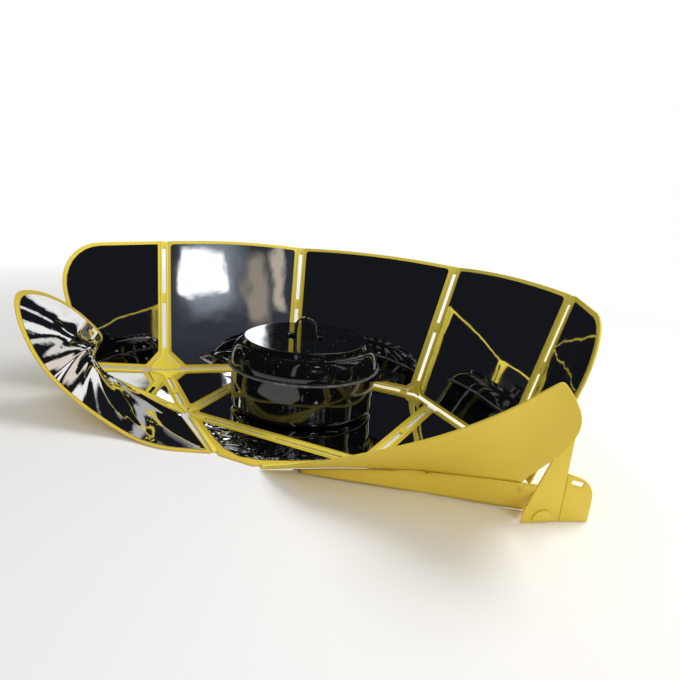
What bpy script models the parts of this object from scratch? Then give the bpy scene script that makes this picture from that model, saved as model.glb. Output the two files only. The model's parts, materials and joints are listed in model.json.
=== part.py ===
"""Folding panel solar oven with its black cooking pot, standing open for cooking.

Metres, +Z up. The origin is on the ground under the middle of the floor panel. The cook stands at -Y.
Every panel is a yellow shell with a mirror film on its inner face. Thin strips with long slots hinge them.
"""

import math

import bpy
import bmesh
from mathutils import Matrix, Vector

# Panels: a moulded shell, a mirror film on it, and the gap that parts keep
SHELL = 0.0025
FILM = 0.0007
GAP = 0.0003
FACE_Z = SHELL + GAP + FILM
BORDER = 0.006
FILM_CORNER = 0.006
RIM_BOW = 0.006
RIM_STEPS = 8

# Floor panel and the walls that stand round it
BACK_BASE = 0.270
BACK_TOP = 0.340
WALL_HEIGHT = 0.245
WALL_LEAN = 0.075
FLOOR_FRONT = 0.314
FLOOR_DEPTH = 0.310
FLOOR_STEP = 0.060
SIDE_BASE = 0.2584
SIDE_TURN = math.radians(42.0)
END_BASE = 0.1572
END_TURN = math.radians(75.3)
END_TOP = 0.220
END_RISE = 0.038
END_CORNER = 0.085
FLAP_DEPTH = 0.085
FLAP_FRONT = 0.080

# Hinge strips
HINGE_HALF = 0.007
SLOT_HALF = 0.0035
STRIP = 0.003
LINK = 0.014
NECK = 0.020
TAPER = 0.016
TAPER_START = 0.006
TAPER_HALF = 0.0016
OPEN_EDGE = 0.001
WALL_FOOT = 0.004
LEAF_START = 0.022
SMALL_PLATE = 0.014
CROSS_PLATE = 0.030
END_PLATE = 0.015

# Petals: their mesh, the shares that the film's border and the round tip take each way, and their gap
PETAL_STEPS = (28, 12)
PETAL_BORDER = (0.012, 0.036)
PETAL_TIP = (0.13, 0.39)
PETAL_GAP = 0.003
FREE_EDGE_REACH = 5

# Feet, whose points on the ground are counted from the outer floor corners
FOOT_SHEET = 0.0025
FOOT_INNER = Vector((0.0021, -0.0145, 0.0))
FOOT_CREASE = Vector((0.0431, 0.0140, 0.0))
FOOT_OUTER = Vector((0.0751, 0.0325, 0.0))
FOOT_TOP = 0.145
LEAF_HEIGHT = 0.064
LEAF_CORNER = 0.020
SLOT_LONG = 0.016
SLOT_WIDE = 0.0054
SLOT_SLANT = math.radians(14.0)
SLOT_BELOW = 0.013
LEAF_DROP = 0.012
TAB_RADIUS = 0.013
TAB_THICK = 0.0015
SKIRT_SHEET = 0.002
SKIRT_GAP = 0.003
SKIRT_LAP = 0.06
SKIRT_SPAN = {"left": (0.10, 0.93), "right": (0.05, 0.93)}
SKIRT_RISE = {"left": 0.0, "right": 0.70}

# Cooking pot
POT_X = -0.025
POT_Y = -0.006
POT_TURN = math.radians(15.0)
POT_RADIUS = 0.130
POT_BASE_RADIUS = 0.110
POT_HEIGHT = 0.076
POT_SHEET = 0.0016
POT_LIP = 0.006
POT_FOOT = FACE_Z + GAP
LID_GAP = 0.0004
LID_RISE = 0.042
LID_TOP_RADIUS = 0.108
LID_STEP = 0.004
LID_SHEET = 0.0016
STRAP_WIDE = 0.016
STRAP_LONG = 0.062
STRAP_HIGH = 0.034
STRAP_THICK = 0.0026
LUG_REACH = 0.050
LUG_HOLE = 0.48
LUG_WIDE = 0.095
LUG_THICK = 0.003
TURNED_STEPS = 48

INSIDE = Vector((0.0, 0.0, 0.15))
FLOOR_MID = FLOOR_DEPTH / 2

YELLOW = (0.80, 0.55, 0.045)
BRIGHT_YELLOW = (0.93, 0.74, 0.05)
SILVER = (0.86, 0.87, 0.88)
ENAMEL = (0.006, 0.006, 0.007)


def clear_scene():
    for ob in list(bpy.data.objects):
        bpy.data.objects.remove(ob, do_unlink=True)


def make_collection(name):
    made = bpy.data.collections.new(name)
    bpy.context.scene.collection.children.link(made)
    return made


def make_material(name, colour, roughness, metallic=0.0):
    made = bpy.data.materials.new(name)
    made.use_nodes = True
    shader = made.node_tree.nodes["Principled BSDF"]
    shader.inputs["Base Color"].default_value = (*colour, 1.0)
    shader.inputs["Roughness"].default_value = roughness
    shader.inputs["Metallic"].default_value = metallic
    made.diffuse_color = (*colour, 1.0)
    return made


def flip(point):
    """The same point on the oven's left side."""
    return Vector((-point[0], *point[1:]))


def corner_points():
    """The corners of the right half, on the inner faces of the panels."""
    back = FLOOR_MID
    j_back = Vector((BACK_BASE / 2, back, FACE_Z))
    t_back = Vector((BACK_TOP / 2, back + WALL_LEAN, FACE_Z + WALL_HEIGHT))
    along = Vector((math.cos(SIDE_TURN), -math.sin(SIDE_TURN), 0.0))
    outward = Vector((math.sin(SIDE_TURN), math.cos(SIDE_TURN), 0.0))
    lean = (t_back - j_back).dot(outward)
    j_side = j_back + along * SIDE_BASE
    t_side = j_side + outward * lean + Vector((0.0, 0.0, WALL_HEIGHT))
    step = j_back + along * FLOOR_STEP
    turn = Vector((math.cos(END_TURN), -math.sin(END_TURN), 0.0))
    end = j_side + turn * END_BASE + Vector((0.0, 0.0, END_RISE))
    front = Vector((FLOOR_FRONT / 2, back - FLOOR_DEPTH, FACE_Z))
    lip = Vector((FLAP_FRONT / 2, back - FLOOR_DEPTH - FLAP_DEPTH, FACE_Z))
    level = (end - j_side).cross(t_side - j_side).cross(Vector((0.0, 0.0, 1.0))).normalized()
    if level.dot(turn) < 0:
        level = -level
    top = t_side + level * END_TOP
    return {
        "j_back": j_back,
        "t_back": t_back,
        "j_side": j_side,
        "t_side": t_side,
        "step": step,
        "end": end,
        "top": top,
        "front": front,
        "lip": lip,
    }


class Body:
    """A rigid group of pieces, placed by an empty on its joint's axis."""

    def __init__(self, name, point, collection, parent=None):
        self.empty = bpy.data.objects.new(name, None)
        self.empty.empty_display_size = 0.02
        self.point = Vector(point)
        self.collection = collection
        collection.objects.link(self.empty)
        origin = parent.point if parent else Vector((0.0, 0.0, 0.0))
        if parent:
            self.empty.parent = parent.empty
        self.empty.location = self.point - origin

    def add(self, name, bm, material, smooth=None):
        """Makes an object from a mesh in world places, and parents it to this body."""
        bmesh.ops.translate(bm, verts=bm.verts, vec=-self.point)
        mesh = bpy.data.meshes.new(name)
        bm.to_mesh(mesh)
        bm.free()
        mesh.materials.append(material)
        if smooth is not None:
            mesh.shade_smooth()
            mesh.set_sharp_from_angle(angle=math.radians(smooth))
        ob = bpy.data.objects.new(name, mesh)
        self.collection.objects.link(ob)
        ob.parent = self.empty
        return ob


def solidify(ob, thickness, even=False):
    made = ob.modifiers.new("Thickness", "SOLIDIFY")
    made.thickness = thickness
    made.offset = -1.0
    made.use_even_offset = even
    made.use_quality_normals = even
    return ob


def face_inside(bm):
    """Turns an open sheet so that its normals point into the oven."""
    bmesh.ops.recalc_face_normals(bm, faces=bm.faces)
    if sum(f.normal.dot(INSIDE - f.calc_center_median()) * f.calc_area() for f in bm.faces) < 0:
        bmesh.ops.reverse_faces(bm, faces=bm.faces)
    bm.normal_update()


def plane_axes(corners):
    """Two axes in the plane of a panel, and its normal, which points into the oven."""
    normal = (corners[1] - corners[0]).cross(corners[-1] - corners[0]).normalized()
    if normal.dot(INSIDE - corners[0]) < 0:
        normal = -normal
    first = (corners[1] - corners[0]).normalized()
    return first, normal.cross(first), normal


def cross2(a, b):
    return a.x * b.y - a.y * b.x


def inset_outline(points, insets):
    """Moves each edge of a flat outline inwards by its own inset. Edge i runs from point i to point i + 1."""
    count = len(points)
    area = sum(cross2(points[i], points[(i + 1) % count]) for i in range(count))
    side = 1.0 if area > 0 else -1.0
    lines = []
    for i in range(count):
        along = (points[(i + 1) % count] - points[i]).normalized()
        inward = Vector((-along.y, along.x)) * side
        lines.append((points[i] + inward * insets[i], along))
    made = []
    for i in range(count):
        (p, d), (q, e) = lines[i - 1], lines[i]
        made.append(p + d * (cross2(q - p, e) / cross2(d, e)))
    return made


def cut_corner(points, index, reach):
    """Replaces a corner with two points, each this far along one of its edges."""
    count = len(points)
    here = points[index]
    before = (points[index - 1] - here).normalized() * reach
    after = (points[(index + 1) % count] - here).normalized() * reach
    return points[:index] + [here + before, here + after] + points[index + 1:]


def bow_edge(points, index, rise):
    """Bows an outline's edge outwards as a shallow arc."""
    count = len(points)
    a = points[index]
    b = points[(index + 1) % count]
    area = sum(cross2(points[i], points[(i + 1) % count]) for i in range(count))
    along = (b - a).normalized()
    outward = Vector((along.y, -along.x)) * (1.0 if area > 0 else -1.0)
    arc = []
    for k in range(1, RIM_STEPS):
        t = k / RIM_STEPS
        arc.append(a.lerp(b, t) + outward * rise * 4 * t * (1 - t))
    return points[:index + 1] + arc + points[index + 1:]


def flat_sheet(points, origin, axes, height):
    """One flat face from an outline, raised this far towards the inside of the oven."""
    first, second, normal = axes
    bm = bmesh.new()
    verts = [bm.verts.new(origin + first * p.x + second * p.y + normal * height) for p in points]
    bm.faces.new(verts)
    face_inside(bm)
    return bm


def panel(body, name, corners, insets, cuts, looks, bow=None, rounds=None, film_extra=None):
    """A flat panel: its yellow shell and its mirror film.

    corners are the panel's corners on its inner face, insets the distance that each edge keeps from
    the line between them, cuts the reach by which a corner is cut for a hinge's plate, bow the edge
    that is bowed, rounds the radius of a rounded corner, and film_extra a corner's wider film border.
    """
    axes = plane_axes(corners)
    origin = corners[0]
    flat = [Vector(((p - origin).dot(axes[0]), (p - origin).dot(axes[1]))) for p in corners]
    for part, grow, height, thickness, slot in (
        ("panel", 0.0, -FILM - GAP, SHELL, "shell"),
        ("mirror", BORDER, 0.0, FILM, "film"),
    ):
        outline = inset_outline(flat, [i + grow for i in insets])
        if bow is not None:
            outline = bow_edge(outline, bow, RIM_BOW)
        for index in sorted(cuts, reverse=True):
            reach = cuts[index]
            if part == "mirror" and film_extra and index in film_extra:
                reach = film_extra[index]
            outline = cut_corner(outline, index if bow is None or index <= bow else index + RIM_STEPS - 1, reach)
        bm = flat_sheet(outline, origin, axes, height)
        round_corners(bm, axes, origin, flat, rounds, part, grow)
        ob = body.add(f"{name}_{part}", bm, looks[slot])
        solidify(ob, thickness)


def round_corners(bm, axes, origin, flat, rounds, part, grow):
    """Rounds the big corners of a sheet, and every corner of a film."""
    bm.verts.ensure_lookup_table()
    big = []
    if rounds:
        for index, radius in rounds.items():
            spot = origin + axes[0] * flat[index].x + axes[1] * flat[index].y
            nearest = min(bm.verts, key=lambda v: (v.co - spot).length)
            big.append((nearest, radius))
    for vert, radius in big:
        bmesh.ops.bevel(bm, geom=[vert], offset=radius - grow, affect="VERTICES", segments=8,
                        profile=0.5, material=-1)
    if part == "mirror" and not rounds:
        sharp = []
        for vert in bm.verts:
            a, b = (edge.other_vert(vert).co - vert.co for edge in vert.link_edges)
            if a.length > 3 * FILM_CORNER and b.length > 3 * FILM_CORNER and a.angle(b) < math.radians(120):
                sharp.append(vert)
        if sharp:
            bmesh.ops.bevel(bm, geom=sharp, offset=FILM_CORNER, affect="VERTICES", segments=3,
                            profile=0.5, material=-1)
    face_inside(bm)


def across(a, b, target):
    """The direction in the plane of a, b and target, square to the line from a to b, towards target."""
    along = (b - a).normalized()
    away = target - a
    return (away - along * away.dot(along)).normalized()


def leaf(a, b, base):
    """A leaf's directions at both ends: along the panel's base edge at a, square to the fold at b."""
    return [(base - a).normalized(), across(a, b, base)]


def end_stations(kind, reach):
    """Stations near a strip's end, as pairs of distance and half width."""
    if kind == "plate":
        return [(1.5 * OPEN_EDGE, reach), (HINGE_HALF, reach), (reach, HINGE_HALF)]
    if kind == "taper":
        return [(reach, TAPER_HALF), (reach + TAPER, HINGE_HALF)]
    return [(reach, HINGE_HALF)]


def slot_plan(low, high):
    """Two long slots with a neck between them, as pairs of distances."""
    middle = (low + high) / 2
    return [(low + LINK, middle - NECK / 2), (middle + NECK / 2, high - LINK)]


def hinge_strip(body, name, a, b, sides, look, start, finish, slotted=True):
    """A strip along a fold from a to b, with one leaf on each side of the fold, or one leaf alone.

    sides holds a leaf's direction at a and at b. start and finish give each end's kind and reach.
    """
    length = (b - a).length
    along = (b - a).normalized()
    low = end_stations(*start)
    high = [(length - s, w) for s, w in reversed(end_stations(*finish))]
    stations = dict(low + high)
    slots = slot_plan(low[-1][0], high[0][0]) if slotted else []
    for pair in slots:
        for s in pair:
            stations[s] = HINGE_HALF
    places = sorted(stations)
    inner = 0.0 if len(sides) == 2 else OPEN_EDGE
    bm = bmesh.new()
    middle = [bm.verts.new(a + along * s) for s in places] if len(sides) == 2 else None
    for side in sides:
        rows = []
        for k, s in enumerate(places):
            out = side[0].lerp(side[1], s / length).normalized()
            width = stations[s]
            near = min(SLOT_HALF, width / 2)
            root = middle[k] if middle else bm.verts.new(a + along * s + out * min(inner, width / 3))
            rows.append((root, bm.verts.new(a + along * s + out * near), bm.verts.new(a + along * s + out * width)))
        for k in range(len(places) - 1):
            centre = (places[k] + places[k + 1]) / 2
            here, there = rows[k], rows[k + 1]
            if not any(p < centre < q for p, q in slots) or len(sides) == 1:
                bm.faces.new((here[0], there[0], there[1], here[1]))
            bm.faces.new((here[1], there[1], there[2], here[2]))
    face_inside(bm)
    ob = body.add(name, bm, look)
    solidify(ob, STRIP, even=True)
    return ob


def smooth_point(points, t):
    """A point at t, from 0 to 1, on a smooth curve through the points."""
    spans = len(points) - 1
    place = min(t * spans, spans - 1e-9)
    k = int(place)
    f = place - k
    p1 = points[k]
    p2 = points[k + 1]
    p0 = points[k - 1] if k else p1 * 2 - p2
    p3 = points[k + 2] if k + 2 <= spans else p2 * 2 - p1
    bend = p0 * 2 - p1 * 5 + p2 * 4 - p3
    swing = p1 * 3 - p0 - p2 * 3 + p3
    return (p1 * 2 + (p2 - p0) * f + bend * f * f + swing * f ** 3) / 2


class Petal:
    """A curved wing: a patch spanned by its hinge edge, flap edge, rim and free edge."""

    def __init__(self, front, end, lip, rim, free, side, leaf):
        self.hinge = [front, end]
        self.leaf = leaf
        self.rim = [lip, *rim]
        self.free = [end, *free, rim[-1]]
        self.flap = [front, lip]
        self.side = side

    def hinge_edge(self, u):
        along = self.hinge[1] - self.hinge[0]
        u = u * (1 - 2 * TAPER_START / along.length) + TAPER_START / along.length
        out = self.leaf[0].lerp(self.leaf[1], u).normalized()
        return self.hinge[0].lerp(self.hinge[1], u) + out * (HINGE_HALF + PETAL_GAP)

    def flap_edge(self, v):
        start = self.hinge_edge(0.0)
        return start.lerp(self.rim[0] + self.side * (GAP + OPEN_EDGE), v)

    def rim_edge(self, u):
        rim = [self.rim[0] + self.side * (GAP + OPEN_EDGE), *self.rim[1:]]
        return smooth_point(rim, u)

    def free_edge(self, v):
        free = [self.hinge_edge(1.0), *self.free[1:]]
        return smooth_point(free, v)

    def at(self, u, v):
        """A point of the wing: straight from hinge to rim, and bent beside the free edge only."""
        bend = self.free_edge(v) - self.hinge_edge(1.0).lerp(self.rim_edge(1.0), v)
        return self.hinge_edge(u).lerp(self.rim_edge(u), v) + bend * u ** FREE_EDGE_REACH

    def near_tip(self, u, v):
        """The grid's corner at the tip, drawn in to a round one."""
        a = (u - 1 + PETAL_TIP[0]) / PETAL_TIP[0]
        b = (v - 1 + PETAL_TIP[1]) / PETAL_TIP[1]
        if min(a, b) <= 0:
            return u, v
        turn = b / a if a > b else 2 - a / b
        reach = max(a, b)
        a = reach * math.cos(turn * math.pi / 4)
        b = reach * math.sin(turn * math.pi / 4)
        return 1 - PETAL_TIP[0] * (1 - a), 1 - PETAL_TIP[1] * (1 - b)

    def normal(self, u, v):
        """The patch's normal, which points into the oven."""
        d = 0.004
        along = self.at(min(u + d, 1.0), v) - self.at(max(u - d, 0.0), v)
        up = self.at(u, min(v + d, 1.0)) - self.at(u, max(v - d, 0.0))
        made = along.cross(up).normalized()
        return made if made.dot(INSIDE - self.at(u, v)) > 0 else -made

    def sheet(self, height, border):
        """The patch raised towards the inside, whole or without its border."""
        lines = []
        for edge, steps in zip(PETAL_BORDER, PETAL_STEPS):
            inner = [edge + (1 - 2 * edge) * i / steps for i in range(steps + 1)]
            lines.append(inner if border else [0.0, *inner, 1.0])
        bm = bmesh.new()
        spots = [[self.near_tip(u, v) for v in lines[1]] for u in lines[0]]
        grid = [[bm.verts.new(self.at(*spot) + self.normal(*spot) * height) for spot in row] for row in spots]
        for here, there in zip(grid, grid[1:]):
            for k in range(len(here) - 1):
                bm.faces.new((here[k], there[k], there[k + 1], here[k + 1]))
        face_inside(bm)
        return bm


def add_petal(body, name, petal, looks):
    ob = body.add(f"{name}_panel", petal.sheet(-FILM - GAP, False), looks["shell"], smooth=30)
    solidify(ob, SHELL)
    ob = body.add(f"{name}_mirror", petal.sheet(0.0, True), looks["film"], smooth=30)
    solidify(ob, FILM)


# The two petals stand as they are bent: the right one upright, the left one opened further.
# A rim point is a share of the way from the flap's corner to the floor's, then metres in front and above
RIGHT_RIM = (
    (0.184, 0.0299, 0.0225),
    (0.367, 0.0457, 0.0436),
    (0.67, 0.0499, 0.077),
    (0.884, 0.0639, 0.1159),
    (1.022, 0.0746, 0.1507),
    (1.083, 0.0808, 0.1664),
)
# A point of the free edge is metres outwards, in front of and above the floor's corner
RIGHT_FREE = (
    (0.0051, 0.026, 0.0335),
    (0.0311, 0.052, 0.0785),
    (0.0431, 0.068, 0.1235),
)
# A point of the skirt's foot is a share of the way along the petal's hinge, then metres in front
RIGHT_GROUND = (
    (-0.367, 0.0745),
    (-0.014, 0.0522),
    (0.595, 0.0091),
    (0.953, -0.0183),
)
LEFT_RIM = (
    (0.199, 0.0419, -0.0071),
    (0.398, 0.0599, -0.0086),
    (0.691, 0.0914, 0.0222),
    (0.89, 0.1093, 0.0657),
    (1.028, 0.11, 0.1254),
    (1.009, 0.0927, 0.1691),
)
LEFT_FREE = (
    (-0.0369, -0.004, 0.0465),
    (-0.0449, 0.002, 0.0715),
    (-0.0219, 0.045, 0.1265),
)
LEFT_GROUND = (
    (0.1, 0.0085),
    (0.329, 0.0081),
    (0.595, 0.0071),
    (0.929, 0.0071),
)


def rim_points(table, lip, end):
    return [lip.lerp(end, share) + Vector((0.0, -ahead, above)) for share, ahead, above in table]


def free_points(table, end, side):
    return [end + Vector((side * aside, -ahead, above)) for aside, ahead, above in table]


def ground_points(table, front, end):
    made = [front.lerp(end, share) - Vector((0.0, ahead, 0.0)) for share, ahead in table]
    return [Vector((p.x, p.y, SKIRT_SHEET)) for p in made]


def box_cutter(name, size, matrix, collection):
    bm = bmesh.new()
    bmesh.ops.create_cube(bm, size=1.0)
    bmesh.ops.scale(bm, vec=size, verts=bm.verts)
    bmesh.ops.transform(bm, matrix=matrix, verts=bm.verts)
    bmesh.ops.recalc_face_normals(bm, faces=bm.faces)
    mesh = bpy.data.meshes.new(name)
    bm.to_mesh(mesh)
    bm.free()
    ob = bpy.data.objects.new(name, mesh)
    collection.objects.link(ob)
    ob.hide_render = True
    ob.display_type = "WIRE"
    return ob


def foot_point(corner, offset, side):
    """A point on the ground, from the outer floor corner and an offset for the right side."""
    return Vector((corner.x + offset.x * side, corner.y + offset.y, 0.0))


def leaf_frame(a, b, side):
    """Axes of an upright sheet: along it on the ground, up, and its outward normal."""
    along = (b - a).normalized()
    up = Vector((0.0, 0.0, 1.0))
    normal = along.cross(up) * side
    return a, along, up, normal, (b - a).length


def upright_sheet(points, frame):
    a, along, up, normal, _ = frame
    bm = bmesh.new()
    verts = [bm.verts.new(a + along * x + up * z) for x, z in points]
    face = bm.faces.new(verts)
    face.normal_update()
    if face.normal.dot(normal) < 0:
        face.normal_flip()
    return bm


def add_foot(wall, leaf_body, word, side, corner, looks, cutters):
    """The foot under an end wall: a front leaf, a lock tab on it, and a rear leaf that folds on it."""
    inner, crease, outer = (foot_point(corner, spot, side) for spot in (FOOT_INNER, FOOT_CREASE, FOOT_OUTER))
    front = leaf_frame(inner, crease, side)
    length = front[4]
    bm = upright_sheet([(0.0, 0.0), (length - GAP, 0.0), (length - GAP, FOOT_TOP), (0.0, 0.012)], front)
    ob = wall.add(f"foot_{word}_front", bm, looks["bright"])
    solidify(ob, FOOT_SHEET)
    bm = bmesh.new()
    turns = [math.pi * k / 10 for k in range(11)]
    centre = front[0] + front[1] * length * 0.52 + front[3] * (GAP + TAB_THICK)
    verts = [bm.verts.new(centre + front[1] * TAB_RADIUS * math.cos(t)
                          + front[2] * (0.004 + TAB_RADIUS * math.sin(t))) for t in turns]
    face = bm.faces.new(verts)
    face.normal_update()
    if face.normal.dot(front[3]) < 0:
        face.normal_flip()
    ob = wall.add(f"foot_{word}_tab", bm, looks["bright"])
    solidify(ob, TAB_THICK)
    rear = leaf_frame(crease, outer, side)
    length = rear[4]
    bm = upright_sheet([(GAP, 0.0), (length, 0.0), (length, LEAF_HEIGHT - LEAF_DROP), (GAP, LEAF_HEIGHT)], rear)
    bm.verts.ensure_lookup_table()
    bmesh.ops.bevel(bm, geom=[bm.verts[2]], offset=LEAF_CORNER, affect="VERTICES", segments=6,
                    profile=0.5, material=-1)
    ob = leaf_body.add(f"foot_{word}_leaf", bm, looks["bright"])
    solidify(ob, FOOT_SHEET)
    place = rear[0] + rear[1] * length * 0.40 + rear[2] * (LEAF_HEIGHT - SLOT_BELOW)
    turn = Matrix((rear[1], rear[3], rear[2])).transposed().to_4x4()
    cutter = box_cutter(f"slot_cutter_{word}", (SLOT_LONG, 0.02, SLOT_WIDE),
                        Matrix.Translation(place) @ turn @ Matrix.Rotation(SLOT_SLANT, 4, "Y"), cutters)
    cut = ob.modifiers.new("Lock slot", "BOOLEAN")
    cut.object = cutter


def add_skirt(body, word, petal, ground, looks):
    """The sheet that runs from under the petal's hinge down to the ground, and carries the floor's edge."""
    bm = bmesh.new()
    rows = []
    first, last = SKIRT_SPAN[word]
    steps = 16
    for k in range(steps + 1):
        t = k / steps
        u = first + (last - first) * t
        v = SKIRT_LAP + SKIRT_RISE[word] * (1 - t) ** 4
        top = petal.at(u, v) - petal.normal(u, v) * (FILM + SHELL + SKIRT_GAP)
        low = smooth_point(ground, t)
        rows.append([bm.verts.new(low), bm.verts.new(low.lerp(top, 0.5)), bm.verts.new(top)])
    for here, there in zip(rows, rows[1:]):
        bm.faces.new((here[0], there[0], there[1], here[1]))
        bm.faces.new((here[1], there[1], there[2], here[2]))
    face_inside(bm)
    ob = body.add(f"skirt_{word}", bm, looks["shell"], smooth=30)
    solidify(ob, SKIRT_SHEET)


def turned(profile, centre, thickness):
    """An open sheet turned about a vertical axis, from pairs of radius and height."""
    bm = bmesh.new()
    verts = [bm.verts.new((centre[0] + r, centre[1], centre[2] + z)) for r, z in profile]
    edges = [bm.edges.new(pair) for pair in zip(verts, verts[1:])]
    bmesh.ops.spin(bm, geom=verts + edges, cent=centre, axis=(0.0, 0.0, 1.0), dvec=(0.0, 0.0, 0.0),
                   angle=2 * math.pi, steps=TURNED_STEPS, use_merge=True, use_duplicate=False)
    bmesh.ops.remove_doubles(bm, verts=bm.verts, dist=0.00001)
    bmesh.ops.recalc_face_normals(bm, faces=bm.faces)
    return bm


def pot_profile():
    """The pot's wall from the middle of its base up to its rim, which is a flat lip."""
    wall = POT_RADIUS - POT_LIP
    edge = wall - POT_BASE_RADIUS
    made = [(0.0, 0.0), (POT_BASE_RADIUS / 2, 0.0), (POT_BASE_RADIUS, 0.0)]
    for k in range(1, 6):
        t = math.radians(90 * k / 5)
        made.append((POT_BASE_RADIUS + edge * math.sin(t), edge * (1 - math.cos(t))))
    made.append((wall, POT_HEIGHT - POT_LIP / 2))
    made.append((wall + POT_LIP / 3, POT_HEIGHT))
    made.append((POT_RADIUS, POT_HEIGHT))
    return made


def lid_profile():
    """The lid from the middle of its flat top, over its step and down its curved side."""
    made = [(0.0, LID_RISE), (LID_TOP_RADIUS - 2 * LID_STEP, LID_RISE), (LID_TOP_RADIUS - LID_STEP, LID_RISE)]
    made.append((LID_TOP_RADIUS, LID_RISE - LID_STEP))
    steps = 6
    for k in range(1, steps + 1):
        t = math.radians(90 * k / steps)
        reach = POT_RADIUS - POT_LIP / 3 - LID_TOP_RADIUS
        made.append((LID_TOP_RADIUS + reach * math.sin(t), (LID_RISE - LID_STEP) * math.cos(t)))
    return made


def add_pot(pot, lid, looks):
    centre = Vector((POT_X, POT_Y, POT_FOOT))
    bm = turned(pot_profile(), centre, POT_SHEET)
    orient_away(bm, centre + Vector((0.0, 0.0, POT_HEIGHT / 2)))
    ob = pot.add("pot_body", bm, looks["enamel"], smooth=40)
    solidify(ob, POT_SHEET)
    brim = centre + Vector((0.0, 0.0, POT_HEIGHT + LID_GAP + LID_SHEET))
    bm = turned(lid_profile(), brim, LID_SHEET)
    orient_away(bm, brim)
    ob = lid.add("pot_lid", bm, looks["enamel"], smooth=40)
    solidify(ob, LID_SHEET)
    add_strap(lid, brim + Vector((0.0, 0.0, LID_RISE + GAP)), looks)
    for word, side in (("left", -1), ("right", 1)):
        add_lug(pot, word, side, centre + Vector((0.0, 0.0, POT_HEIGHT - POT_LIP)), looks)


def orient_away(bm, point):
    """Turns an open shape so that its normals point away from a point inside it."""
    bmesh.ops.recalc_face_normals(bm, faces=bm.faces)
    if sum(f.normal.dot(f.calc_center_median() - point) * f.calc_area() for f in bm.faces) < 0:
        bmesh.ops.reverse_faces(bm, faces=bm.faces)
    bm.normal_update()


def turn_pot(point):
    """Turns a point about the pot's axis, because the pot stands with its handles askew."""
    return Matrix.Rotation(POT_TURN, 3, "Z") @ point


def add_strap(body, foot, looks):
    """The lid's handle: a strap bent into a low loop, open below."""
    half = STRAP_LONG / 2
    outline = [(-half, STRAP_THICK), (-half * 0.72, STRAP_THICK)]
    for k in range(11):
        t = math.pi * k / 10
        rise = (STRAP_HIGH - 2 * STRAP_THICK) * math.sin(t) ** 0.5
        outline.append((-math.cos(t) * half * 0.62, 2 * STRAP_THICK + rise))
    outline += [(half * 0.72, STRAP_THICK), (half, STRAP_THICK)]
    bm = bmesh.new()
    rows = []
    for x, z in outline:
        ends = (Vector((x, y, z)) for y in (-STRAP_WIDE / 2, STRAP_WIDE / 2))
        rows.append([bm.verts.new(foot + turn_pot(end)) for end in ends])
    for here, there in zip(rows, rows[1:]):
        bm.faces.new((here[0], there[0], there[1], here[1]))
    bm.normal_update()
    ob = body.add("lid_handle", bm, looks["enamel"], smooth=40)
    solidify(ob, STRAP_THICK)


def add_lug(body, word, side, centre, looks):
    """A pot handle: a flat pointed loop that stands out level from under the pot's lip."""
    inner = POT_RADIUS - POT_LIP + GAP + POT_SHEET / 4
    half = LUG_WIDE / 2
    steps = 8
    points = []
    for k in range(steps + 1):
        t = -half + LUG_WIDE * k / steps
        points.append(Vector((math.sqrt(inner * inner - t * t), t, 0.0)))
    for reach, wide in ((0.60, 0.46), (0.92, 0.20), (1.0, 0.0), (0.92, -0.20), (0.60, -0.46)):
        points.append(Vector((inner + LUG_REACH * reach, half * wide, 0.0)))
    middle = sum(points, Vector()) / len(points)
    middle.x = inner + LUG_REACH * 0.42
    bm = bmesh.new()
    rings = []
    for scale in (1.0, LUG_HOLE):
        ring = [middle + (p - middle) * scale for p in points]
        rings.append([bm.verts.new(centre + turn_pot(Vector((side * p.x, p.y, 0.0)))) for p in ring])
    outer, hole = rings
    for k in range(len(points)):
        n = (k + 1) % len(points)
        bm.faces.new((outer[k], outer[n], hole[n], hole[k]))
    bmesh.ops.recalc_face_normals(bm, faces=bm.faces)
    if sum(f.normal.z for f in bm.faces) < 0:
        bmesh.ops.reverse_faces(bm, faces=bm.faces)
    ob = body.add(f"pot_handle_{word}", bm, looks["enamel"])
    solidify(ob, LUG_THICK)


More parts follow.
